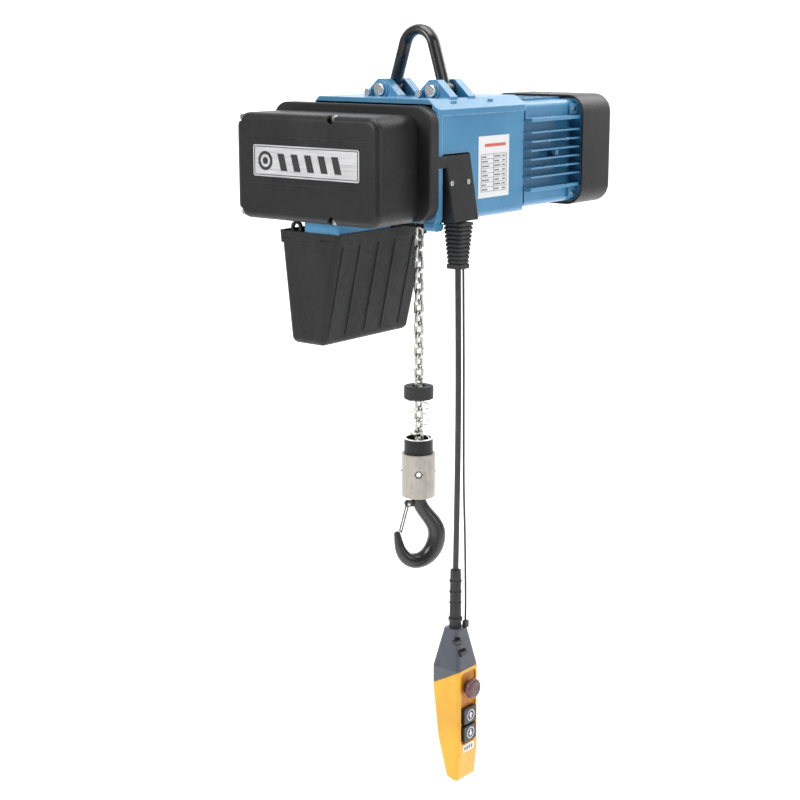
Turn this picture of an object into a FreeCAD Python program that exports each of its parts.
import FreeCAD, Part
import Sketcher
import math
import os
import re
from FreeCAD import Placement, Rotation, Vector

# Electric chain hoist, in mm. +Z is up, +X runs along the motor towards the fan cover, and -Y is the
# side with the pendant. The origin is the bearing point of the suspension eye, on the load line.

doc = FreeCAD.newDocument("chain_hoist")

SIZES = {
    # gear housing
    "body_x0": -72, "body_x1": 134, "body_y0": -84, "body_y1": 128,
    "body_top": -80, "body_bot": -239, "wall": 6, "lip": 21, "lid_slope": 13,
    # drive line: motor, wheel and gears
    "motor_y": -18, "motor_z": -162, "wheel_y": 23.08, "wheel_z": -186,
    "module_a": 1.0, "teeth_motor": 13, "teeth_mid": 62,
    "module_b": 1.5, "teeth_pinion": 12, "teeth_out": 60,
    "shaft_play": 0.03,
    # finned motor and fan cover
    "motor_x0": 134, "motor_x1": 262, "shield_x1": 270, "fan_x0": 255, "fan_x1": 335,
    "fin_reach": 74, "core_half": 55, "corner_half": 63, "motor_half": 72,
    "fan_half_y": 80, "fan_half_z": 78,
    # control box
    "plate_x0": -90, "plate_y0": -87, "plate_y1": 182, "plate_z0": -236, "plate_z1": -88,
    "cover_x0": -170, "cover_y0": -67, "cover_y1": 177, "cover_z0": -238, "cover_z1": -99,
    "cover_wall": 3,
    # suspension eye
    "pin_y": 43, "pin_z": -71, "pin_rad": 6, "lug_gap": 12.5, "lug_thick": 15,
    # chain
    "pitch": 15, "link_bar": 4.9, "link_wide": 16.5,
    # hook block
    "ring_top": -475, "ring_bot": -493, "ring_rad": 20.6, "cup_top": -549.5, "cup_rad": 20.2,
    "sleeve_top": -571, "sleeve_bot": -633.5, "sleeve_rad": 23.5, "chain_bore": 9.6,
    # chain container
    "bin_x0": -152, "bin_x1": 45, "bin_y0": 16, "bin_y1": 118, "bin_top": -252.5, "bin_deep": 153,
    "bin_wall": 2.6,
    # pendant
    "cord_x": -30, "cord_y": -88, "cord_top": -300, "cord_bot": -717, "cord_dia": 8,
    "cap_top": -800, "hand_wide": 47, "hand_front": -111.5,
}

sheet = doc.addObject("Spreadsheet::Sheet", "sizes")
for row, (name, amount) in enumerate(SIZES.items(), start=1):
    sheet.set(f"A{row}", name)
    sheet.set(f"B{row}", str(amount))
    sheet.setAlias(f"B{row}", name)
doc.recompute()


class S:
    """The same sizes as plain numbers, for shapes that no primitive can make."""


for name, amount in SIZES.items():
    setattr(S, name, float(amount))

NODES = {}
count = 0


def formula(text):
    """A size or a sum of sizes, written for the spreadsheet."""
    return re.sub(
        r"[a-z_]+[a-z_0-9]*",
        lambda found: "sizes." + found.group() if found.group() in SIZES else found.group(),
        str(text),
    )


def fresh(kind):
    global count
    count += 1
    return doc.addObject(kind, f"piece{count}")


def bind(thing, **amounts):
    for key, amount in amounts.items():
        thing.setExpression(key.replace("_at_", "."), formula(amount))


def base(thing, x, y, z):
    for axis, amount in zip("xyz", (x, y, z)):
        thing.setExpression("Placement.Base." + axis, formula(amount))


def box(x0, x1, y0, y1, z0, z1):
    thing = fresh("Part::Box")
    bind(thing, Length=f"({x1})-({x0})", Width=f"({y1})-({y0})", Height=f"({z1})-({z0})")
    base(thing, x0, y0, z0)
    return thing


TURN = {
    "X": Rotation(Vector(0, 1, 0), 90),
    "Y": Rotation(Vector(1, 0, 0), -90),
    "Z": Rotation(),
}


def rod(axis, radius, low, high, a, b):
    """A cylinder along an axis from low to high; a and b are its two other coordinates, in X, Y, Z order."""
    thing = fresh("Part::Cylinder")
    bind(thing, Radius=radius, Height=f"({high})-({low})")
    thing.Placement = Placement(Vector(), TURN[axis])
    where = {"X": (low, a, b), "Y": (a, low, b), "Z": (a, b, low)}[axis]
    base(thing, *where)
    return thing


def cone(axis, radius0, radius1, low, high, a, b):
    thing = fresh("Part::Cone")
    bind(thing, Radius1=radius0, Radius2=radius1, Height=f"({high})-({low})")
    thing.Placement = Placement(Vector(), TURN[axis])
    where = {"X": (low, a, b), "Y": (a, low, b), "Z": (a, b, low)}[axis]
    base(thing, *where)
    return thing


def taper(top, bottom, z_top, deep):
    """A block whose plan goes from top (x0, x1, y0, y1) at z_top to bottom, deep mm lower."""
    thing = fresh("Part::Wedge")
    bind(
        thing,
        Xmin=top[0], Xmax=top[1], Zmin=top[2], Zmax=top[3], Ymin=0, Ymax=deep,
        X2min=bottom[0], X2max=bottom[1], Z2min=bottom[2], Z2max=bottom[3],
    )
    # the wedge's own Y points down and its own Z along +Y
    thing.Placement = Placement(Vector(), Rotation(Vector(1, 0, 0), Vector(0, 0, -1), Vector(0, 1, 0)))
    thing.setExpression("Placement.Base.z", formula(z_top))
    return thing


def cut(first, *others):
    doc.recompute()
    for other in others:
        thing = fresh("Part::Cut")
        thing.Base, thing.Tool = first, other
        first = thing
    doc.recompute()
    return first


def fuse(*things):
    if len(things) == 1:
        return things[0]
    thing = fresh("Part::MultiFuse")
    thing.Shapes = list(things)
    doc.recompute()
    return thing


def group(*things):
    """Separate solids that count as one node, such as a set of screws."""
    thing = fresh("Part::Compound")
    thing.Links = list(things)
    doc.recompute()
    return thing


def common(first, second):
    thing = fresh("Part::Common")
    thing.Base, thing.Tool = first, second
    doc.recompute()
    return thing


def rounded(thing, radius, chosen):
    """Round the edges that chosen(edge) picks."""
    doc.recompute()
    picked = [n for n, edge in enumerate(thing.Shape.Edges, start=1) if chosen(edge)]
    fillet = fresh("Part::Fillet")
    fillet.Base = thing
    fillet.Edges = [(n, radius, radius) for n in picked]
    doc.recompute()
    return fillet


def along(axis, **where):
    """Picks straight edges along an axis, and at the given coordinates if any."""
    way = {"X": Vector(1, 0, 0), "Y": Vector(0, 1, 0), "Z": Vector(0, 0, 1)}[axis]

    def chosen(edge):
        if len(edge.Vertexes) != 2 or not isinstance(edge.Curve, (Part.Line, Part.LineSegment)):
            return False
        ends = [v.Point for v in edge.Vertexes]
        if (ends[1] - ends[0]).normalize().cross(way).Length > 0.2:
            return False
        middle = (ends[0] + ends[1]) * 0.5
        return all(abs(getattr(middle, k) - v) < 1.5 for k, v in where.items())

    return chosen


def at(**where):
    """Picks edges whose every point lies in the plane x, y or z = value."""

    def chosen(edge):
        bb = edge.BoundBox
        low = {"x": bb.XMin, "y": bb.YMin, "z": bb.ZMin}
        high = {"x": bb.XMax, "y": bb.YMax, "z": bb.ZMax}
        return all(abs(low[k] - v) < 0.05 and abs(high[k] - v) < 0.05 for k, v in where.items())

    return chosen


def prism(plane, points, low, high):
    """A sketched outline padded from low to high. plane is "XY" (pads up Z), "YZ" (pads along X)
    or "XZ" (pads along -Y, so low and high are given as -y)."""
    body = fresh("PartDesign::Body")
    role = {"XY": "XY_Plane", "YZ": "YZ_Plane", "XZ": "XZ_Plane"}[plane]
    origin = [f for f in body.Origin.OriginFeatures if f.Role == role][0]
    sketch = body.newObject("Sketcher::SketchObject", body.Name + "_outline")
    sketch.AttachmentSupport = [(origin, "")]
    sketch.MapMode = "FlatFace"
    sketch.setExpression("AttachmentOffset.Base.z", formula(low))
    numbers = [(sheet_value(a), sheet_value(b)) for a, b in points]
    total = len(points)
    for n, (a, b) in enumerate(numbers):
        c, d = numbers[(n + 1) % total]
        sketch.addGeometry(Part.LineSegment(Vector(a, b, 0), Vector(c, d, 0)), False)
    for n in range(total):
        sketch.addConstraint(Sketcher.Constraint("Coincident", n, 2, (n + 1) % total, 1))
    for n, (a, b) in enumerate(points):
        for kind, amount, number in (("DistanceX", a, numbers[n][0]), ("DistanceY", b, numbers[n][1])):
            place = sketch.addConstraint(Sketcher.Constraint(kind, -1, 1, n, 1, number))
            if isinstance(amount, str):
                sketch.setExpression(f"Constraints[{place}]", formula(amount))
    pad = body.newObject("PartDesign::Pad", body.Name + "_pad")
    pad.Profile = sketch
    bind(pad, Length=f"({high})-({low})")
    sketch.Visibility = False
    doc.recompute()
    return body


def sheet_value(text):
    """The number that a size, or a size plus or minus a number, stands for."""
    if not isinstance(text, str):
        return float(text)
    total = 0.0
    for sign, word in re.findall(r"([+-]?)\s*([a-z_0-9.]+)", text):
        number = float(SIZES[word]) if word in SIZES else float(word)
        total += -number if sign == "-" else number
    return total


def solid(shape):
    thing = fresh("Part::Feature")
    thing.Shape = shape
    return thing


def node(label, thing):
    thing.Label = label
    NODES[label] = thing
    return thing


def ring(axis, outer, inner, low, high, a, b):
    return cut(rod(axis, outer, low, high, a, b), rod(axis, inner, f"({low})-1", f"({high})+1", a, b))


# ---------------------------------------------------------------- drive line positions

centre_a = S.module_a * (S.teeth_motor + S.teeth_mid) / 2
centre_b = S.module_b * (S.teeth_pinion + S.teeth_out) / 2
step = Vector(0, S.wheel_y - S.motor_y, S.wheel_z - S.motor_z)
reach = step.Length
along_line = (centre_a**2 - centre_b**2 + reach**2) / (2 * reach)
off_line = math.sqrt(centre_a**2 - along_line**2)
unit = step * (1 / reach)
mid = Vector(0, S.motor_y, S.motor_z) + unit * along_line + Vector(0, unit.z, -unit.y) * off_line
mid_y, mid_z = round(mid.y, 4), round(mid.z, 4)


def gear(module, teeth, x0, x1, axis_y, axis_z, bore, phase):
    """An involute spur gear with stub teeth at a 25 degree pressure angle; phase turns a tooth from +Y."""
    press = math.radians(25)
    pitch_r = module * teeth / 2
    base_r = pitch_r * math.cos(press)
    tip_r, root_r = pitch_r + 0.8 * module, pitch_r - 1.0 * module
    slack = 0.07 * module  # taken off each flank, measured along the pitch circle

    def opening(radius):
        angle = math.acos(base_r / radius)
        return math.tan(angle) - angle

    half = (math.pi * module / 4 - slack) / pitch_r
    start = max(root_r, base_r)
    radii = [start + (tip_r - start) * k / 4 for k in range(5)]
    flank = [(r, half + opening(pitch_r) - opening(r)) for r in radii]
    outline = []
    for tooth in range(int(teeth)):
        middle = phase + 2 * math.pi * tooth / teeth
        if root_r < start:
            outline.append((root_r, middle - flank[0][1]))
        outline += [(r, middle - t) for r, t in flank]
        outline += [(r, middle + t) for r, t in reversed(flank)]
        if root_r < start:
            outline.append((root_r, middle + flank[0][1]))
    points = [Vector(x0, axis_y + r * math.cos(t), axis_z + r * math.sin(t)) for r, t in outline]
    blank = Part.Face(Part.makePolygon(points + points[:1])).extrude(Vector(x1 - x0, 0, 0))
    if bore:
        hole = Part.makeCylinder(bore, x1 - x0, Vector(x0, axis_y, axis_z), Vector(1, 0, 0))
        blank = blank.cut(hole)
    return blank


# the direction from each driver to its wheel sets the phase at which teeth and gaps meet
angle_a = math.atan2(mid_z - S.motor_z, mid_y - S.motor_y)
angle_b = math.atan2(S.wheel_z - mid_z, S.wheel_y - mid_y)
half_gap_mid = math.pi / S.teeth_mid
half_gap_out = math.pi / S.teeth_out

# ---------------------------------------------------------------- gear housing

shell = rounded(
    box("body_x0", "body_x1", "body_y0+2", "body_y1-2", "body_bot", "body_top-lip"), 9,
    lambda e: along("Z")(e) or along("X", z=S.body_bot)(e),
)
lid = rounded(box("body_x0", "body_x1", "body_y0", "body_y1", "body_top-lip", "body_top"), 8, along("Z"))
lid = common(lid, taper(("body_x0", "body_x1-lid_slope", "body_y0+lid_slope", "body_y1-lid_slope"),
                        ("body_x0", "body_x1-lid_slope+lip", "body_y0+lid_slope-lip", "body_y1-lid_slope+lip"),
                        "body_top", "lip"))
skirt = box("body_x0", "body_x0+12", "body_y0", "body_y1", "body_bot", "body_top-lip")
skirt = rounded(skirt, 8, lambda e: along("X", z=S.body_bot)(e))


def lug(side, end):
    """One of the four eye lugs, standing on the lid; side is the sign of Y and end the sign of X."""
    y = side * S.pin_y
    x0 = S.lug_gap if end > 0 else -S.lug_gap - S.lug_thick
    foot = prism("YZ", [(y - 31, S.body_top - 6), (y + 31, S.body_top - 6), (y + 29, S.body_top + 2),
                        (y + 10.5, S.pin_z + 10), (y + 6, S.pin_z + 14), (y - 6, S.pin_z + 14),
                        (y - 10.5, S.pin_z + 10), (y - 29, S.body_top + 2)], x0, x0 + S.lug_thick)
    face = x0 + S.lug_thick if end > 0 else x0
    boss = rod("X", 11.5, min(face, face + end * 2), max(face, face + end * 2), y, "pin_z")
    return [foot, boss]


lugs = [thing for side in (-1, 1) for end in (-1, 1) for thing in lug(side, end)]
pads = [box(-33, -27.5, y + 13.5, y + 22.5, "body_top-1", "body_top+10") for y in (-43, 43)]
nub = rounded(box(-73, -52, -80, -64, "body_bot-10", "body_bot+1"), 6, along("Y", z=S.body_bot - 10))
pocket_wall = box(-64, 6, "body_y0+4", "body_y0+26", "body_bot+1", -146)
outer = fuse(shell, lid, skirt, nub, *lugs, *pads)
cavity = box("body_x0-1", "body_x1-wall", "body_y0+8", "body_y1-8", "body_bot+wall", "body_top-wall")
web_a = box(-30, -22, "body_y0+6", "body_y1-6", "body_bot+3", "body_top-3")
web_b = box(52, 60, "body_y0+6", "body_y1-6", "body_bot+3", "body_top-3")
window_a = fuse(box(-31, -21, 62, 110, -225, -110), box(-31, -21, -50, 50, -150, -105))
window_b = box(51, 61, 62, 110, -225, -110)
inside = fuse(cut(outer, cavity), cut(web_a, window_a), cut(web_b, window_b), pocket_wall)
seats = [
    rod("X", 16, 122, 136, "motor_y", "motor_z"),
    rod("X", 14, 51, 61, "motor_y", "motor_z"),
    rod("X", 13, -31, -21, mid_y, mid_z), rod("X", 13, 51, 61, mid_y, mid_z),
    rod("X", 18, -31, -21, "wheel_y", "wheel_z"), rod("X", 18, 51, 61, "wheel_y", "wheel_z"),
    box(-22, 22, -16, 62.2, "body_bot-1", "body_bot+wall+1"),
    box(-60, 2, "body_y0-1", "body_y0+22", "body_bot-1", -150),
    rod("Z", 5, -160, -140, -50, -70),
]
pin_holes = [rod("X", "pin_rad+0.05", -40, 40, y, "pin_z") for y in (-43, 43)]
bolt_holes = [rod("X", 2.5, -34, -20, y + 18, "body_top+5") for y in (-43, 43)]
eye_rooms = [rod("X", 11.2, -12.2, 12.2, y, "pin_z") for y in (-43, 43)]
vents = [box(body, body + 3, "body_y1-5", "body_y1", -200, -130) for body in (-40, -20, 0, 20, 40)]
node("gear_housing", cut(inside, *seats, *pin_holes, *bolt_holes, *eye_rooms, *vents))

# ---------------------------------------------------------------- motor

FINS = (-47.7, -30.7, -18.3, -6.1, 6.1, 18.3, 30.7, 47.7)


def half_block(half_y, half_z, x0, x1):
    return box(x0, x1, f"motor_y-({half_y})", f"motor_y+({half_y})", f"motor_z-({half_z})",
               f"motor_z+({half_z})")


core = half_block("core_half", "motor_half", "motor_x0", "motor_x1")
corners = [
    rounded(box("motor_x0", "motor_x1", "motor_y-corner_half", "motor_y+corner_half",
                f"motor_z+({low})", f"motor_z+({high})"), 9,
            lambda e, z=edge: along("X", z=S.motor_z + z)(e))
    for low, high, edge in ((48, 72, 72), (-72, -48, -72))
]
fins = []
for n, lift in enumerate(FINS):
    thick = 5 if abs(lift) > 40 else 2.6
    fin = box("motor_x0", "motor_x1", "motor_y-fin_reach", "motor_y+fin_reach",
              f"motor_z+({lift})-({thick / 2})", f"motor_z+({lift})+({thick / 2})")
    fins.append(rounded(fin, 0.9, along("X")))
    if n in (2, 5):
        for x in (176, 222):
            fins.append(rod("Y", 2.2, "motor_y-fin_reach-0.8", "motor_y-fin_reach+10", x,
                            f"motor_z+({lift})"))
ribs = [box("motor_x0", "motor_x1", f"motor_y+({y})-1.3", f"motor_y+({y})+1.3", "motor_z-motor_half-3",
            "motor_z+motor_half+3") for y in (-36, -24, -12, 0, 12, 24, 36)]
bolt_boss = [rod("Y", 5, "motor_y-core_half-10", "motor_y-core_half+2", 205.6, "motor_z-0.2")]
bolt_head = box(202, 209.2, "motor_y-core_half-13.5", "motor_y-core_half-9", "motor_z-3.8", "motor_z+3.4")
casing = fuse(core, *corners, *fins, *ribs, *bolt_boss, bolt_head)
node("motor_casing", cut(casing, rod("X", 52, "motor_x0-1", "motor_x1+1", "motor_y", "motor_z")))

shield = rounded(half_block(75, 73.5, "motor_x1", "shield_x1"), 22, along("X"))
tabs = [box("motor_x1-21", "motor_x1+1", f"motor_y+({y})-1.5", f"motor_y+({y})+1.5",
            f"motor_z+({lift})-7", f"motor_z+({lift})+7") for y in (-66, 66) for lift in (-59, 59)]
holes = [rod("X", 16, "motor_x1-1", "shield_x1+1", "motor_y", "motor_z")]
for n in range(6):
    a = math.radians(60 * n + 30)
    holes.append(rod("X", 13, "motor_x1-1", "shield_x1+1", f"motor_y+{40 * math.cos(a):.3f}",
                     f"motor_z+{40 * math.sin(a):.3f}"))
node("motor_end_shield", cut(fuse(shield, *tabs), *holes))

core_ring = ring("X", 51.9, 30.5, 150, 232, "motor_y", "motor_z")
ends = [ring("X", 48, 34, x, x + 11, "motor_y", "motor_z") for x in (139.5, 231.5)]
node("stator", fuse(core_ring, *ends))
node("rotor_core", ring("X", 30, 9, 150, 232, "motor_y", "motor_z"))
shaft = fuse(rod("X", 4, 36, 50, "motor_y", "motor_z"), rod("X", 8, 50, 274, "motor_y", "motor_z"),
             rod("X", 9, 148, 234, "motor_y", "motor_z"), rod("X", 6, 274, 304, "motor_y", "motor_z"))
node("motor_shaft", shaft)
node("motor_pinion", solid(gear(S.module_a, S.teeth_motor, 38.5, 49.5, S.motor_y, S.motor_z, 4, angle_a)))

blades = []
for n in range(8):
    blade = Part.makeBox(20, 2.4, 53, Vector(278, S.motor_y - 1.2, S.motor_z + 9))
    blade.rotate(Vector(0, S.motor_y, S.motor_z), Vector(1, 0, 0), 45 * n)
    blades.append(solid(blade))
fan = fuse(rod("X", 12, 276, 300, "motor_y", "motor_z"),
           rod("X", 62, 276, 278.5, "motor_y", "motor_z"), *blades)
node("cooling_fan", cut(fan, rod("X", 6, 275, 301, "motor_y", "motor_z")))

hood = rounded(half_block("fan_half_y", "fan_half_z", "fan_x0", "fan_x1"), 26, along("X"))
hood = rounded(hood, 9, at(x=S.fan_x1))
hollow = rounded(half_block("fan_half_y-2.5", "fan_half_z-2.5", "fan_x0-1", "fan_x1-2.5"), 23.5, along("X"))
hollow = rounded(hollow, 7, at(x=S.fan_x1 - 2.5))
grille = []
for n in range(-4, 5):
    wide = 56 if abs(n) < 3 else 40
    grille.append(box("fan_x1-4", "fan_x1+1", f"motor_y-({wide})", f"motor_y+({wide})",
                      f"motor_z+({n * 13})-3", f"motor_z+({n * 13})+3"))
feet = []
for side in (-1, 1):
    for lift in (-50, 50):
        feet.append(box("shield_x1", "shield_x1+8", f"motor_y+({side})*72.9-5", f"motor_y+({side})*72.9+5",
                        f"motor_z+({lift})-6", f"motor_z+({lift})+6"))
node("fan_cover", fuse(cut(hood, hollow, *grille), *feet))

screws = [rod("Y", 3.4, f"motor_y+({y})", f"motor_y+({y})+2.9", 247, f"motor_z+({lift})")
          for y in (-70.4, 67.5) for lift in (-59, 59)]
node("fan_cover_screws", group(*screws))

bearing_list = [
    ring("X", 16, "8+shaft_play", 124, 134, "motor_y", "motor_z"),
    ring("X", 16, "8+shaft_play", "motor_x1", "shield_x1", "motor_y", "motor_z"),
    ring("X", 13, "6+shaft_play", -30, -22, mid_y, mid_z),
    ring("X", 13, "6+shaft_play", 52, 60, mid_y, mid_z),
    ring("X", 18, "9+shaft_play", -30, -22, "wheel_y", "wheel_z"),
    ring("X", 18, "9+shaft_play", 52, 60, "wheel_y", "wheel_z"),
]
node("bearings", group(*bearing_list))

# ---------------------------------------------------------------- brake, on the motor shaft

magnet = ring("X", 44, 12, 98, 123.5, "motor_y", "motor_z")
stop_plate = ring("X", 50, 12, 80, 86.8, "motor_y", "motor_z")
pillars = []
for n in range(3):
    a = math.radians(120 * n + 90)
    pillars.append(rod("X", 3, 80, 128, f"motor_y+{46.5 * math.cos(a):.3f}",
                       f"motor_z+{46.5 * math.sin(a):.3f}"))
node("brake_magnet", fuse(magnet, stop_plate, *pillars))
node("brake_disc", fuse(ring("X", 40, 8, 87, 93.8, "motor_y", "motor_z"),
                        ring("X", 11.5, 8, 82, 94, "motor_y", "motor_z")))
node("brake_armature", ring("X", 42, 12.2, 94, 97.5, "motor_y", "motor_z"))

# ---------------------------------------------------------------- gears and chain wheel

node("intermediate_gear", solid(gear(S.module_a, S.teeth_mid, 40, 48, mid_y, mid_z, 7,
                                     angle_a + math.pi + half_gap_mid)))
mid_shaft = fuse(
    rod("X", 6, -31, 62, mid_y, mid_z), rod("X", 7, 36, 49, mid_y, mid_z),
    solid(gear(S.module_b, S.teeth_pinion, 20.5, 35.5, mid_y, mid_z, 0, angle_b)),
)
node("intermediate_shaft", mid_shaft)
node("output_gear", solid(gear(S.module_b, S.teeth_out, 22, 34, S.wheel_y, S.wheel_z, 10,
                               angle_b + math.pi + half_gap_out)))
node("output_shaft", fuse(rod("X", 9, -31, 62, "wheel_y", "wheel_z"),
                          rod("X", 10, 14.5, 38, "wheel_y", "wheel_z")))

wheel = rod("X", 27.5, -14, 14, "wheel_y", "wheel_z")
groove = cut(rod("X", 40, -3.5, 3.5, "wheel_y", "wheel_z"), rod("X", 13.6, -4, 4, "wheel_y", "wheel_z"))
trim = cut(rod("X", 40, -9.8, 9.8, "wheel_y", "wheel_z"), rod("X", 20.5, -10, 10, "wheel_y", "wheel_z"))
# five flat seats for the links that lie flat, and a narrow tooth in each gap between two such links
pockets, teeth = [], []
for n in range(5):
    tooth = Part.makeBox(19.6, 4, 3.4, Vector(-9.8, S.wheel_y - 2, S.wheel_z + 19.4))
    tooth.rotate(Vector(0, S.wheel_y, S.wheel_z), Vector(1, 0, 0), -54 + 72 * n)
    teeth.append(solid(tooth))
    slot = Part.makeBox(19.6, 28.2, 20, Vector(-9.8, S.wheel_y - 14.1, S.wheel_z + 19.8))
    slot.rotate(Vector(0, S.wheel_y, S.wheel_z), Vector(1, 0, 0), -90 + 72 * n)
    pockets.append(solid(slot))
wheel = fuse(cut(wheel, trim, *pockets), *teeth)
node("chain_wheel", cut(wheel, groove, rod("X", 9, -20, 20, "wheel_y", "wheel_z")))

# ---------------------------------------------------------------- chain


def link(centre, tangent, face):
    """One chain link: tangent runs along the chain and face is the normal of the link's plane."""
    bend = (S.link_wide - S.link_bar) / 2
    straight = (S.pitch + 0.1 + S.link_bar) / 2 - bend
    tangent = Vector(tangent).normalize()
    face = Vector(face).normalize()
    side = face.cross(tangent)

    def put(t, s):
        return centre + tangent * t + side * s

    wire = Part.Wire([
        Part.LineSegment(put(-straight, bend), put(straight, bend)).toShape(),
        Part.Arc(put(straight, bend), put(straight + bend, 0), put(straight, -bend)).toShape(),
        Part.LineSegment(put(straight, -bend), put(-straight, -bend)).toShape(),
        Part.Arc(put(-straight, -bend), put(-straight - bend, 0), put(-straight, bend)).toShape(),
    ])
    section = Part.Wire(Part.makeCircle(S.link_bar / 2, put(-straight, bend), tangent))
    return wire.makePipeShell([section], True, True)


def strand(first, last, y, start_z):
    """Straight links hanging at y, numbered from the wheel's axis height; odd ones lie flat to the wheel."""
    down = Vector(0, 0, -1)
    return [link(Vector(0, y, start_z - S.pitch * n), down, Vector(0, 1, 0) if n % 2 else Vector(1, 0, 0))
            for n in range(first, last + 1)]


LAST_LINK = 27
node("load_chain", solid(Part.makeCompound(strand(1, LAST_LINK, 0, S.wheel_z))))

apothem = S.wheel_y
wrap = []
for n in range(0, 6):
    a = math.radians(180 - 36 * n)
    out = Vector(0, math.cos(a), math.sin(a))
    along_wheel = Vector(0, -math.sin(a), math.cos(a))
    centre = Vector(0, S.wheel_y, S.wheel_z) + out * apothem
    wrap.append(link(centre, along_wheel, out if n % 2 else Vector(1, 0, 0)))
node("wheel_chain", solid(Part.makeCompound(wrap)))

slack_y = 2 * S.wheel_y
stored = []
down = Vector(0, 0, -1)
for n in range(1, 9):
    stored.append(link(Vector(0, slack_y, S.wheel_z - S.pitch * n), down,
                       Vector(1, 0, 0) if n % 2 else Vector(0, 1, 0)))
for y, low_x, total in ((66, -126, 10), (88, -120, 10), (76.8, -118, 9)):
    z = -392.0 if total == 10 else -374.0
    for n in range(total):
        stored.append(link(Vector(low_x + S.pitch * n, y, z), Vector(1, 0, 0),
                           Vector(0, 0, 1) if n % 2 else Vector(0, 1, 0)))
node("stored_chain", solid(Part.makeCompound(stored)))

guide = fuse(box(-21.8, 21.8, -15.8, 62, "body_bot-0.5", -222),
             rounded(box(-26, 26, -26, 66, "body_bot-6", "body_bot"), 6, along("Z")),
             box(-17, -13.6, -26, -16, "body_bot-15", "body_bot-5"),
             box(13.6, 17, -26, -16, "body_bot-15", "body_bot-5"))
slots = []
for y in (0, slack_y):
    slots += [box(-9.7, 9.7, y - 3.6, y + 3.6, -260, -210), box(-3.6, 3.6, y - 9.7, y + 9.7, -260, -210)]
lever_pin = (-21, -249.5)
node("chain_guide", fuse(cut(guide, *slots), rod("X", 1.6, -17, 17, *lever_pin)))

lever = fuse(rod("X", 3.4, -13.2, 13.2, *lever_pin), box(-13.2, 13.2, -21, 13, -252.9, -250.4))
lever = cut(lever, rod("Z", 10.6, -260, -240, 0, 0), rod("X", 1.65, -20, 20, *lever_pin))
node("limit_lever", lever)
node("limit_switch", fuse(rounded(box(26.6, 46, -30, 4, -250, "body_bot"), 2, along("Z")),
                          rod("Z", 3, -252, -249, 36, -22)))

# ---------------------------------------------------------------- control box

plate = rounded(box("plate_x0", "body_x0", "plate_y0", "plate_y1", "plate_z0", "plate_z1"), 24, along("X"))
plate = rounded(plate, 2.5, at(x=S.plate_x0))
window = rounded(box("plate_x0-1", "body_x0+1", "plate_y0+34", "plate_y1-64", "plate_z0+24", "plate_z1-30"), 10,
                 along("X"))
inlet_hole = rod("Y", 8, "plate_y1-30", "plate_y1+1", -81, -190)
pass_hole = rod("X", 14, -95, -70, 148, -190)
node("control_backplate", cut(plate, window, inlet_hole, pass_hole))

SCREW_SPOTS = ((12, -103.5), (12, -233.5), (171.5, -106), (171.5, -231))
cover = rounded(box("cover_x0", "plate_x0", "cover_y0", "cover_y1", "cover_z0", "cover_z1"), 20, along("X"))
cover = rounded(cover, 9, at(x=S.cover_x0))
inner = rounded(box("cover_x0+cover_wall", "plate_x0+1", "cover_y0+cover_wall", "cover_y1-cover_wall",
                    "cover_z0+cover_wall", "cover_z1-cover_wall"), 17, along("X"))
inner = rounded(inner, 6, at(x=S.cover_x0 + S.cover_wall))
posts = [common(rod("X", 9.5, "cover_x0+8", "plate_x0", y, z), rounded(
    box("cover_x0", "plate_x0", "cover_y0", "cover_y1", "cover_z0", "cover_z1"), 20, along("X")))
    for y, z in SCREW_SPOTS]
notches = []
for y, z in SCREW_SPOTS:
    notches.append(rod("X", 6.5, "cover_x0-1", "cover_x0+14", y, z))
    if y == 12:
        low, high = (z, z + 12) if z > -170 else (z - 12, z)
        notches.append(box("cover_x0-1", "cover_x0+14", y - 6.5, y + 6.5, low, high))
grooves = [box("cover_x0-1", "cover_x0+0.7", "cover_y0+22", "cover_y1-22", z, z + 1.6) for z in (-132, -192)]
plate_seat = box("cover_x0-1", "cover_x0+0.8", -36.3, 145.3, -181.3, -139.7)
node("control_cover", cut(fuse(cut(cover, inner), *posts), *notches, *grooves, plate_seat))


def socket_screw(axis, radius, low, high, a, b):
    """A round screw head with a hexagon socket in its low end."""
    key = fresh("Part::Prism")
    key.Polygon = 6
    bind(key, Circumradius=f"({radius})*0.55", Height=4)
    key.Placement = Placement(Vector(), TURN[axis])
    base(key, *{"X": (f"({low})-1", a, b), "Y": (a, f"({low})-1", b)}[axis])
    return cut(rod(axis, radius, low, high, a, b), key)


node("cover_screws", group(*[socket_screw("X", 4.6, "cover_x0+8", "cover_x0+14", y, z)
                             for y, z in SCREW_SPOTS]))
label_plate = rounded(box("cover_x0-0.4", "cover_x0+0.8", -36, 145, -181, -140), 3, along("X"))
node("nameplate", label_plate)
node("rating_plate", box(21.5, 92.5, "body_y0+1.5", "body_y0+2", -213, -131))

rail = box("plate_x0-8", "plate_x0", -40, 150, -172, -164)
contactors = [rounded(box(-146, "plate_x0-8", y, y + 45, -205, -132), 2, along("X")) for y in (-38, 10)]
node("contactors", fuse(rail, *contactors))
blocks = [box(-122, "plate_x0-8", y, y + 7.4, -195, -148) for y in range(62, 134, 8)]
node("terminal_block", group(*blocks))

gland = fuse(rod("Y", 7.9, "plate_y1-12", "plate_y1+2", -81, -190),
             rod("Y", 13, "plate_y1", "plate_y1+5", -81, -190),
             rod("Y", 10.5, "plate_y1+5", "plate_y1+18", -81, -190))
gland = rounded(gland, 3, at(y=S.plate_y1 + 18))
node("supply_inlet_gland", cut(gland, rod("Y", 4.5, "plate_y1-13", "plate_y1+19", -81, -190)))

# ---------------------------------------------------------------- cable outlet

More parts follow.
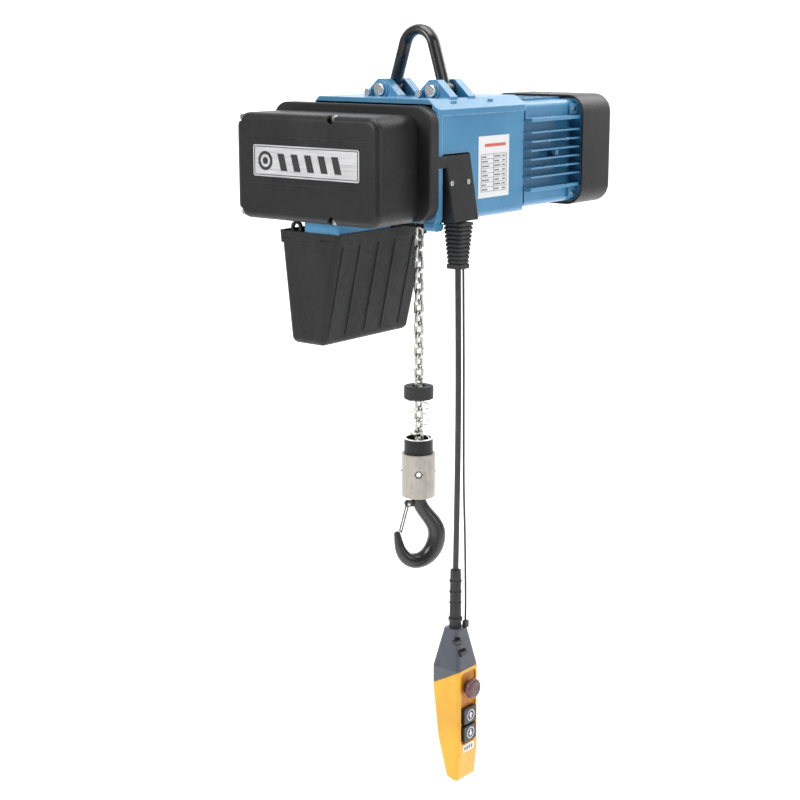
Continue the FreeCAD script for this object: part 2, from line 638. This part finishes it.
wedge = prism("YZ", [(S.body_y0 + 21.8, -152), (S.body_y0 - 1, -152), (S.body_y0 - 15.5, -237),
                     (S.body_y0 + 21.8, -237)], -55, 1)
wedge = rounded(wedge, 3, lambda e: along("Z")(e) and e.BoundBox.YMin < S.body_y0 - 5)
tab = box(-71.5, -54, "body_y0-2.2", "body_y0-0.3", -167, -152)
screw_bores = [rod("Y", 3.8, -110, "body_y0-5.3", x, -187) for x in (-50, -14)]
node("cable_outlet_cover", cut(fuse(wedge, tab), *screw_bores, rod("Z", "cord_dia/2+0.3", -240, -230, "cord_x", "cord_y")))
node("outlet_screws", group(*[socket_screw("Y", 3.4, "body_y0-8.5", "body_y0-5.3", x, -187)
                              for x in (-50, -14)]))

sleeve_core = taper(("cord_x-12.5", "cord_x+12.5", "cord_y-12.5", "cord_y+12.5"),
                    ("cord_x-9", "cord_x+9", "cord_y-9", "cord_y+9"), "body_bot-0.2", 55)
rings = []
for n in range(10):
    half = 15 - 0.42 * n
    z = S.body_bot - 0.2 - 5.5 * n
    plate = box(f"cord_x-{half}", f"cord_x+{half}", f"cord_y-{half}", f"cord_y+{half}", z - 3.4, z)
    rings.append(rounded(plate, 4, along("Z")))
collar = rounded(box("cord_x-11.5", "cord_x+11.5", "cord_y-11.5", "cord_y+11.5", "cord_top+0.3", "cord_top+6.2"), 3,
                 along("Z"))
neck = rod("Z", 8, "body_bot-1", -237, "cord_x", "cord_y")
boot = fuse(sleeve_core, *rings, collar, neck)
wire_room = rod("Z", 3.3, "cord_top-1", "cord_top+3.6", "cord_x+3", "cord_y-6.4")
node("strain_relief_boot", cut(boot, wire_room, rod("Z", "cord_dia/2+0.3", -310, -230, "cord_x", "cord_y")))

# ---------------------------------------------------------------- suspension eye


def eye_path():
    """Centreline of the eye: an arch over the origin, and a straight leg down to each pin."""
    radius, centre = 25.0, Vector(0, 0, -17.8)
    pin = Vector(0, S.pin_y, S.pin_z)
    span = pin - centre
    tilt = math.atan2(span.z, span.y) + math.acos(radius / span.Length)
    touch = centre + Vector(0, math.cos(tilt), math.sin(tilt)) * radius
    other = Vector(0, -touch.y, touch.z)
    return [
        Part.LineSegment(Vector(0, -S.pin_y, S.pin_z), other).toShape(),
        Part.Arc(other, centre + Vector(0, 0, radius), touch).toShape(),
        Part.LineSegment(touch, pin).toShape(),
    ]


path = Part.Wire(eye_path())
start = Vector(0, -S.pin_y, S.pin_z)
way = path.Edges[0].tangentAt(path.Edges[0].FirstParameter)
oval = Part.Ellipse()
oval.MajorRadius, oval.MinorRadius = 10.6, 7.2
oval_shape = oval.toShape()
side_way = Vector(1, 0, 0)
oval_shape.Placement = Placement(start, Rotation(side_way, way.cross(side_way), way))
bow = path.makePipeShell([Part.Wire(oval_shape)], True, True)
for y in (-S.pin_y, S.pin_y):
    bow = bow.fuse(Part.makeCylinder(10.5, 22, Vector(-11, y, S.pin_z), Vector(1, 0, 0)))
for y in (-S.pin_y, S.pin_y):
    bow = bow.cut(Part.makeCylinder(S.pin_rad + 0.05, 60, Vector(-30, y, S.pin_z), Vector(1, 0, 0)))
node("suspension_eye", solid(bow.removeSplitter()))

pins = []
for y in (-43, 43):
    pins.append(fuse(rod("X", "pin_rad", -31, 31.5, y, "pin_z"),
                     rounded(rod("X", 8.2, -34, -29.5, y, "pin_z"), 1.2, at(x=-34)),
                     ring("X", 8.6, 5.5, 29.5, 31, y, "pin_z")))
    pins.append(fuse(rod("X", 4.6, -36.4, -33, y + 18, "body_top+5"),
                     rod("X", 2.4, -33.5, -22, y + 18, "body_top+5")))
node("suspension_pins", group(*pins))

# ---------------------------------------------------------------- chain container

bracket = box("bin_x0", -40, "bin_y0", 74, "bin_top", "body_bot")
bracket = rounded(bracket, 3, along("Z"))
slack_gap = box("bin_x0+3", -43, "bin_y0+3", 71, "bin_top-1", "body_bot-3")
node("container_bracket", cut(bracket, slack_gap))

TOP = ("bin_x0", "bin_x1", "bin_y0", "bin_y1")
FOOT = ("bin_x0+9", "bin_x1-3", "bin_y0+35", "bin_y1-9")
tub = rounded(taper(TOP, FOOT, "bin_top", "bin_deep"), 10,
              lambda e: (e.BoundBox.ZMax - e.BoundBox.ZMin) > 100 or e.BoundBox.ZMax < S.bin_top - 100)
hollow = taper(("bin_x0+bin_wall", "bin_x1-bin_wall", "bin_y0+bin_wall", "bin_y1-bin_wall"),
               ("bin_x0+9+bin_wall", "bin_x1-3-bin_wall", "bin_y0+35+bin_wall", "bin_y1-9-bin_wall"),
               "bin_top+0.5", "bin_deep-bin_wall-0.5")
hollow = rounded(hollow, 6, lambda e: (e.BoundBox.ZMax - e.BoundBox.ZMin) > 100)
collar_band = taper(("bin_x0-1.6", "bin_x1+1.6", "bin_y0-1.6", "bin_y1+1.6"),
                    ("bin_x0-0.8", "bin_x1+1.4", "bin_y0+1.8", "bin_y1+0.8"), "bin_top", 16)
collar_band = rounded(collar_band, 9, lambda e: (e.BoundBox.ZMax - e.BoundBox.ZMin) > 12)
staves = [taper((x, x + 3, "bin_y0+2.3", "bin_y0+5.5"), (x + 1, x + 3.6, "bin_y0+31.2", "bin_y0+34"),
                "bin_top-15.5", "bin_deep-27") for x in (-137, -102, -63, -27, 12)]
eye_lug = cut(fuse(rod("X", 8.8, "bin_x0", "bin_x0+4.5", 88, "bin_top+4.9"),
                   box("bin_x0", "bin_x0+4.5", 79.2, 96.8, "bin_top-6", "bin_top+4.9")),
              rod("X", 5.2, "bin_x0-1", "bin_x0+6", 88, "bin_top+4.9"))
grips = [box("bin_x0-3", "bin_x0-0.4", y, y + 16, "bin_top-10", "bin_top-7.4") for y in (28, 96)]
tub = cut(fuse(tub, collar_band, *staves), hollow, *grips)
node("chain_container", fuse(tub, eye_lug))

# ---------------------------------------------------------------- hook block

node("striker_ring", rounded(ring("Z", "ring_rad", "chain_bore", "ring_bot", "ring_top", 0, 0), 1.5,
                             lambda e: e.BoundBox.XMax > 15 and len(e.Vertexes) == 1))
wire_rad, coil_rad, turns, steps = 1.1, 14.9, 4.5, 108
low_z, high_z = S.cup_top - 16.5 + wire_rad + 0.1, S.ring_bot - wire_rad - 0.1
winding = []
for n in range(steps + 1):
    a = 2 * math.pi * turns * n / steps
    winding.append(Vector(coil_rad * math.cos(a), coil_rad * math.sin(a), low_z + (high_z - low_z) * n / steps))
helix = Part.BSplineCurve()
helix.interpolate(winding)
start_ring = Part.makeCircle(wire_rad, winding[0], helix.tangent(helix.FirstParameter)[0])
coil = Part.Wire(helix.toShape()).makePipeShell([Part.Wire(start_ring)], True, True)
node("buffer_spring", solid(coil))
cup = fuse(ring("Z", "cup_rad", 17.4, "sleeve_top", "cup_top", 0, 0),
           ring("Z", 18, "chain_bore", "sleeve_top", "cup_top-16.5", 0, 0))
node("buffer_cup", cup)

SLEEVE_TURN = -51.7  # where the plane between the sleeve's two halves points, from +X
joint_plane = Part.makeBox(80, 0.3, 90, Vector(-40, -0.15, -650))
joint_plane.rotate(Vector(), Vector(0, 0, 1), SLEEVE_TURN)
barrel = rod("Z", "sleeve_rad", "sleeve_bot", "sleeve_top", 0, 0)
barrel = rounded(barrel, 1.6, at(z=S.sleeve_bot))
bores = [rod("Z", "chain_bore", -604, "sleeve_top+1", 0, 0), rod("Z", 14.4, -621, -607.5, 0, 0),
         rod("Z", 10.08, "sleeve_bot-1", -620, 0, 0), rod("Y", 3.05, -19, 19, 0, -594.6)]
spokes = [math.radians(60 * n) for n in range(7)]
hexagon = Part.makePolygon([Vector(6 * math.cos(a), 0, 6 * math.sin(a)) for a in spokes])
for face_way in (-1, 1):
    cell = Part.Face(hexagon).extrude(Vector(0, face_way * 9, 0))
    cell.translate(Vector(0, face_way * 17, -597.5))
    cell.rotate(Vector(), Vector(0, 0, 1), SLEEVE_TURN)
    bores.append(solid(cell))
node("hook_sleeve", cut(barrel, *bores, solid(joint_plane)))

bolts = [rod("Y", 3, -18.8, 18.8, 0, -594.6)]
for face_way in (-1, 1):
    stub = Part.makeCylinder(3.4, 5.2, Vector(0, face_way * 17.1, -597.5), Vector(0, face_way, 0))
    stub.rotate(Vector(), Vector(0, 0, 1), SLEEVE_TURN)
    bolts.append(solid(stub))
    knob = Part.makeCylinder(2.3, 1.8, Vector(face_way * 23.5, 0, -597.5), Vector(face_way, 0, 0))
    knob.rotate(Vector(), Vector(0, 0, 1), SLEEVE_TURN)
    bolts.append(solid(knob))
node("sleeve_bolts", group(*bolts))

# the hook's centreline, as (across, height, radius); across is measured in the hook's own plane
HOOK_TURN = SLEEVE_TURN + 16
HOOK = [
    (0, -634, 10.0), (3.5, -648, 10.1), (13, -662.5, 10.6), (22.5, -676, 11.6),
    (27.2, -691.5, 12.7), (24, -709, 12.9), (13.5, -723.5, 12.1), (-3.5, -729.6, 11.0), (-17.6, -724.2, 9.5),
    (-26, -711.5, 7.8), (-29.6, -697, 6.0), (-32, -684, 4.0),
]
spine = Part.BSplineCurve()
spine.interpolate([Vector(u, 0, z) for u, z, _ in HOOK])
sections = []
for u, z, radius in HOOK:
    ahead = Vector(spine.tangent(spine.parameter(Vector(u, 0, z)))[0])
    if u == 0:
        ahead = Vector(0, 0, -1)
    circle = Part.makeCircle(radius)
    across = Vector(0, 1, 0)
    circle.Placement = Placement(Vector(u, 0, z), Rotation(across, ahead.cross(across), ahead))
    sections.append(Part.Wire(circle))
bend = Part.makeLoft(sections, True, False)
tip_edge = [edge for edge in bend.Edges if edge.Length < 30 and edge.BoundBox.ZMin > -690]
bend = bend.makeFillet(3.4, tip_edge)
shank = Part.makeCylinder(10, 24, Vector(0, 0, -634))
head = Part.makeCylinder(14, 12, Vector(0, 0, -620.4))
latch_spot = Vector(-15.5, 0, -644)
ear = Part.makeCylinder(5, 5, latch_spot - Vector(0, 2.5, 0), Vector(0, 1, 0))
web = Part.makeBox(14, 5, 9, Vector(-14, -2.5, -648.5))
hook_shape = bend.fuse([shank, head, ear, web])
hook_shape = hook_shape.cut(Part.makeCylinder(1.75, 20, latch_spot - Vector(0, 10, 0), Vector(0, 1, 0)))
hook_shape = hook_shape.removeSplitter()
hook_shape.rotate(Vector(), Vector(0, 0, 1), HOOK_TURN)
node("hook", solid(hook_shape))

pin_shape = Part.makeCylinder(1.7, 14, latch_spot - Vector(0, 7, 0), Vector(0, 1, 0))
pin_shape.rotate(Vector(), Vector(0, 0, 1), HOOK_TURN)
node("latch_pin", solid(pin_shape))

# the latch is a wire loop: two eyes on the pin, two arms and a cross bar that rests inside the tip
LATCH_END = Vector(-26.2, 0, -684.3)
arm_way = (LATCH_END - latch_spot).normalize()
pieces = []
for side in (-1, 1):
    y = side * 4.6
    eye = Part.makeCylinder(3.4, 2.4, latch_spot + Vector(0, y - 1.2, 0), Vector(0, 1, 0))
    arm = Part.makeCylinder(1.1, (LATCH_END - latch_spot).Length - 2,
                            latch_spot + arm_way * 2 + Vector(0, y, 0), arm_way)
    ball = Part.makeSphere(1.1, LATCH_END + Vector(0, y, 0))
    pieces += [eye, arm, ball]
pieces.append(Part.makeCylinder(1.1, 9.2, LATCH_END - Vector(0, 4.6, 0), Vector(0, 1, 0)))
latch = pieces[0].fuse(pieces[1:])
latch = latch.cut(Part.makeCylinder(1.75, 20, latch_spot - Vector(0, 10, 0), Vector(0, 1, 0)))
latch.rotate(Vector(), Vector(0, 0, 1), HOOK_TURN)
node("latch", solid(latch))

# ---------------------------------------------------------------- control cable and strain wire


def tube(label, points, radius, smallest):
    """A cord through the points: straight runs joined by arcs tangent to both."""
    points = [Vector(*p) for p in points]
    edges, here = [], points[0]
    for before, corner, after in zip(points, points[1:], points[2:]):
        shorter = min((corner - before).Length, (after - corner).Length)
        come, leave = (corner - before).normalize(), (after - corner).normalize()
        turn = come.getAngle(leave)
        bend_r = 0.45 * shorter / math.tan(turn / 2)
        print(f"{label}: bend radius {bend_r:.1f} mm, least {smallest:.1f}")
        trim_by = 0.45 * shorter
        first, last = corner - come * trim_by, corner + leave * trim_by
        inward = (leave - come).normalize()
        middle = corner + inward * (bend_r / math.cos(turn / 2) - bend_r)
        edges += [Part.LineSegment(here, first).toShape(), Part.Arc(first, middle, last).toShape()]
        here = last
    edges.append(Part.LineSegment(here, points[-1]).toShape())
    wire = Part.Wire(edges)
    start_way = (points[1] - points[0]).normalize()
    section = Part.Wire(Part.makeCircle(radius, points[0], start_way))
    shape = wire.makePipeShell([section], True, True)
    print(f"{label}: length {wire.Length:.1f} mm, volume {shape.Volume:.0f}, section times length "
          f"{math.pi * radius**2 * wire.Length:.0f}")
    return shape


X, Y = S.cord_x, S.cord_y
CABLE = [(X, Y, S.cord_top), (X, Y - 1.6, -400), (X, Y - 2.4, -505), (X, Y - 1.6, -610), (X, Y, S.cord_bot)]
WIRE = [(X + 3, Y - 6.4, S.cord_top), (X + 3.2, Y - 8.2, -400), (X + 3.3, Y - 9.0, -505),
        (X + 4.4, Y - 9.2, -600), (X + 7.4, Y - 9.8, -663), (X + 8.8, Y - 10.6, -735),
        (X + 8.7, Y - 11.2, -777), (X + 8.2, Y - 11.2, S.cap_top)]
node("control_cable", solid(tube("control_cable", CABLE, S.cord_dia / 2, 5 * S.cord_dia)))
node("strain_wire", solid(tube("strain_wire", WIRE, 1.5, 15)))

# ---------------------------------------------------------------- pendant

gaiter = fuse(
    cone("Z", 8.4, 7.4, "cap_top", "cord_bot", "cord_x", "cord_y"),
    *[ring("Z", 8.6, 5, z - 1.2, z + 1.2, "cord_x", "cord_y") for z in (-733, -748.5, -764)],
)
gaiter = cut(gaiter, rod("Z", 4, "cap_top-3", "cord_bot+4", "cord_x", "cord_y"))
node("pendant_boot", fuse(gaiter, rod("Z", 4.0, "cap_top", "cord_bot-4", "cord_x", "cord_y")))

FRONT = "hand_front"
cap_block = taper(("cord_x-13", "cord_x+13", "cord_y-13", "cord_y+12"),
                  ("cord_x-hand_wide/2", "cord_x+hand_wide/2", FRONT, "cord_y+23"), "cap_top", 55)
cap_low = box("cord_x-hand_wide/2", "cord_x+hand_wide/2", FRONT, "cord_y+23", -881, "cap_top-55")
cap_all = rounded(fuse(cap_block, cap_low), 6, lambda e: (e.BoundBox.ZMax - e.BoundBox.ZMin) > 20)
slope = prism("YZ", [(S.hand_front - 5, -852.1), (S.cord_y + 30, -884), (S.cord_y + 30, -920),
                     (S.hand_front - 5, -920)], -70, 10)
dents = [box("cord_x-22", "cord_x-9", "cord_y-24", "cord_y-10", -819, -809),
         box("cord_x-16", "cord_x-1", "cord_y-28", "cord_y-16", -835, -826)]
cap_hollow = box("cord_x-15", "cord_x+15", "cord_y-14", "cord_y+14", -900, -837)
node("pendant_cap", cut(cap_all, slope, *dents, cap_hollow))

OUTLINE = [
    (S.hand_front, -855.0), (S.cord_y + 23, -881.0), (S.cord_y + 13.5, -958), (S.cord_y + 4, -993),
    (S.cord_y - 4, -1013), (S.cord_y - 18, -1017), (S.hand_front + 3, -1018), (S.hand_front - 1, -979),
]
handle = prism("YZ", OUTLINE, S.cord_x - S.hand_wide / 2, S.cord_x + S.hand_wide / 2)
handle = rounded(handle, 5, lambda e: (e.BoundBox.XMax - e.BoundBox.XMin) < 1 and
                 (e.BoundBox.ZMax - e.BoundBox.ZMin) > 34)
handle_hollow = box("cord_x-15.5", "cord_x+15.5", -107.6, -80, -966, -800)
channel = rounded(box("cord_x-17", "cord_x+17", "hand_front-3", -107.5, -965, -860), 6, along("Y"))
node("pendant_body", cut(handle, handle_hollow, channel))

ESTOP_Z, UP_Z, DOWN_Z = -883, -923.5, -949.5
panel = rounded(box("cord_x-16.7", "cord_x+16.7", -109.4, -107.5, -964.7, -860.3), 5.6, along("Y"))
panel = cut(panel, rod("Y", 8.4, -112, -105, "cord_x", ESTOP_Z),
            *[box("cord_x-14.3", "cord_x+14.3", -112, -105, z - 11.8, z + 11.8) for z in (UP_Z, DOWN_Z)])
node("button_panel", panel)
node("contact_blocks", group(*[box("cord_x-14", "cord_x+14", -99.4, -80.4, z - 11.5, z + 11.5)
                               for z in (ESTOP_Z, UP_Z, DOWN_Z)]))
mushroom = rounded(rod("Y", 14, -124.5, -117, "cord_x", ESTOP_Z), 4.5, at(y=-124.5))
node("estop_button", fuse(mushroom, rod("Y", 8, -118, -103.6, "cord_x", ESTOP_Z)))
for label, z in (("up_button", UP_Z), ("down_button", DOWN_Z)):
    key = rounded(box("cord_x-14", "cord_x+14", -116, -103, z - 11.5, z + 11.5), 2, along("Y"))
    node(label, rounded(key, 1.2, at(y=-116)))
crimp = rounded(box("cord_x+4.2", "cord_x+12.4", "cord_y-15", "cord_y-8.4", "cap_top+0.3", "cap_top+9.5"), 1.5,
                along("Z"))
crimp = cut(crimp, rod("Z", 1.9, "cap_top-1", "cap_top+10", "cord_x+8.3", "cord_y-11.2"))
tie = ring("Z", 9.8, 8.6, "cap_top+10", "cap_top+14", "cord_x", "cord_y")
straps = [box("cord_x-21.5", "cord_x-10", "cord_y-18.5", "cord_y-10.5", -816.5, -811.5),
          box("cord_x-15", "cord_x-2", "cord_y-23", "cord_y-16.5", -833, -828)]
node("pendant_fittings", group(crimp, tie, *straps))

# ---------------------------------------------------------------- check and export

doc.recompute()
os.makedirs("parts", exist_ok=True)
bad = [thing.Name for thing in doc.Objects if "Invalid" in thing.State or "Error" in thing.State]
if bad:
    raise SystemExit(f"not computed: {bad}")
for label, thing in NODES.items():
    shape = thing.Shape
    if shape.isNull() or not shape.isValid() or not shape.Solids:
        raise SystemExit(f"{label} has no valid solid")
    print(f"{label}: {len(shape.Solids)} solids, {shape.Volume:.0f} mm3")
    shape.exportStep(os.path.join("parts", label + ".step"))
print(f"{len(NODES)} nodes; mid shaft at y {mid_y}, z {mid_z}")
